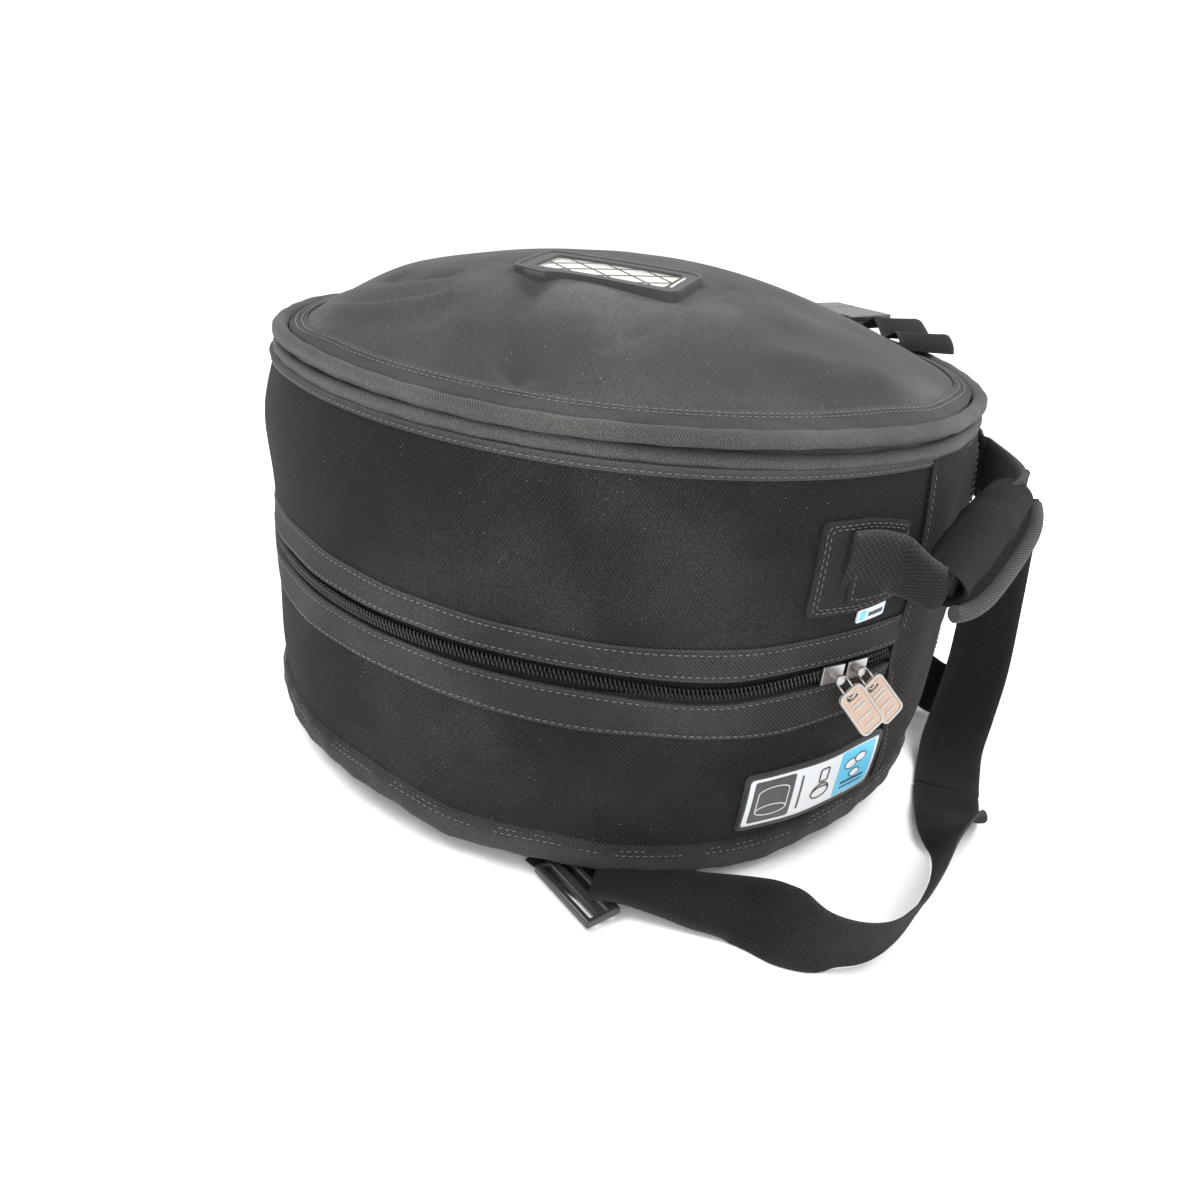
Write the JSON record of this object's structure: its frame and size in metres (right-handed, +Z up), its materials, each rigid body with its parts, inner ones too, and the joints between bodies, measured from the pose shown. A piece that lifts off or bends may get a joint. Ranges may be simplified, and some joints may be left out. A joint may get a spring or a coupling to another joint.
{
  "type": "soft snare drum case",
  "caption": "Padded round drum bag that opens on a zip round its waist, with a hinge panel, side handle, strap pocket and webbing straps, lying on its lid.",
  "frame": {"origin": "on the floor under the middle of the lid, where the case rests", "axes": "+Z up through the middle of the case, +X towards the hinge panel and handle"},
  "size_m": [0.4769, 0.4174, 0.2716],
  "materials": {
    "wall_fabric": "coarse woven twill, dusty",
    "pocket_fabric": "soft twill, slightly faded",
    "padding": "closed foam padding",
    "lining": "fleece lining",
    "twill": "worn twill binding tape",
    "zip_tape": "herringbone zip tape",
    "zip_coil": "moulded coil",
    "ballistic": "coarse ballistic webbing cloth",
    "grip_fabric": "padded cloth, creased",
    "webbing": "ribbed webbing",
    "rubber": "moulded rubber",
    "label_print": "printed plastic",
    "card": "plain card",
    "clear_window": "clear sheet",
    "tab_ribbon": "woven ribbon",
    "slider_metal": "plated die casting",
    "pull_metal": "champagne plated",
    "buckle_plastic": "moulded acetal"
  },
  "bodies": {
    "lid": {"floor_adjuster": "buckle_plastic", "floor_strap_drop": "webbing", "floor_strap_loop": "webbing", "floor_strap_riser": "webbing", "floor_strap_root": "webbing", "floor_strap_tail": "webbing", "hinge_panel_lid": "ballistic", "label_backing": "rubber", "label_face": "label_print", "lid_panel_fabric": "wall_fabric", "lid_panel_foam": "padding", "lid_panel_lining": "lining", "lid_rim_binding": "twill", "lid_wall_fabric": "wall_fabric", "lid_wall_foam": "padding", "lid_wall_lining": "lining", "lid_zip_coil": "zip_coil", "lid_zip_facing": "twill", "lid_zip_tape": "zip_tape", "zip_end_coil": "zip_coil", "zip_end_tape": "zip_tape"},
    "base": {"base_panel_fabric": "wall_fabric", "base_panel_foam": "padding", "base_panel_lining": "lining", "base_wall_fabric": "wall_fabric", "base_wall_foam": "padding", "base_wall_lining": "lining", "base_zip_coil": "zip_coil", "base_zip_facing": "twill", "base_zip_tape": "zip_tape", "card_frame": "rubber", "card_window": "clear_window", "handle_anchor_front": "ballistic", "handle_anchor_rear": "ballistic", "hinge_panel_base": "ballistic", "name_card": "card", "pocket_cover": "pocket_fabric", "rim_piping_lower": "twill", "rim_piping_upper": "twill", "rim_strip": "twill", "side_tab": "tab_ribbon", "stowed_harness": "padding", "top_buckle_plug": "buckle_plastic", "top_buckle_socket": "buckle_plastic", "top_strap_fixed": "webbing", "top_strap_tail": "webbing"},
    "slider_travelling": {"slider_travelling": "slider_metal"},
    "slider_parked": {"slider_parked": "slider_metal"},
    "pull_travelling": {"pull_travelling": "pull_metal"},
    "pull_parked": {"pull_parked": "pull_metal"},
    "handle": {"handle_webbing": "webbing", "handle_grip": "grip_fabric", "handle_grip_piping": "twill"},
    "prong_inner": {"top_buckle_prong_inner": "buckle_plastic"},
    "prong_outer": {"top_buckle_prong_outer": "buckle_plastic"}
  },
  "joints": [
    {"name": "base_open", "type": "hinge", "parent": "lid", "child": "base", "pos_m": [0.2075, 0, 0.117], "axis": [0, 1, 0], "range_deg": [0, 110]},
    {"name": "zip_travel", "type": "hinge", "parent": "lid", "child": "slider_travelling", "pos_m": [0, 0, 0.117], "axis": [0, 0, 1], "range_deg": [-306, 0]},
    {"name": "parked_slider_travel", "type": "hinge", "parent": "lid", "child": "slider_parked", "pos_m": [0, 0, 0.117], "axis": [0, 0, 1], "range_deg": [0, 3.4]},
    {"name": "pull_travelling_swing", "type": "hinge", "parent": "slider_travelling", "child": "pull_travelling", "pos_m": [0.19191, -0.09031, 0.117], "axis": [0.9048, -0.4258, 0], "range_deg": [-76, 0]},
    {"name": "pull_parked_swing", "type": "hinge", "parent": "slider_parked", "child": "pull_parked", "pos_m": [0.19801, -0.07601, 0.117], "axis": [0.9336, -0.3584, 0], "range_deg": [-76, 18]},
    {"name": "handle_swing", "type": "hinge", "parent": "base", "child": "handle", "pos_m": [0.203, 0, 0.177], "axis": [0, 0.9397, 0.342], "range_deg": [-13, 13]},
    {"name": "prong_inner_squeeze", "type": "hinge", "parent": "base", "child": "prong_inner", "pos_m": [0.05745, 0.15698, 0.2416], "axis": [0, 0, 1], "range_deg": [0, 4], "stiffness_Nm_per_rad": 0.05},
    {"name": "prong_outer_squeeze", "type": "hinge", "parent": "base", "child": "prong_outer", "pos_m": [0.06911, 0.189, 0.2416], "axis": [0, 0, 1], "range_deg": [-4, 0], "stiffness_Nm_per_rad": 0.05}
  ],
  "couplings": [
    {"joint": "prong_outer_squeeze", "follows": "prong_inner_squeeze", "ratio": -1}
  ]
}
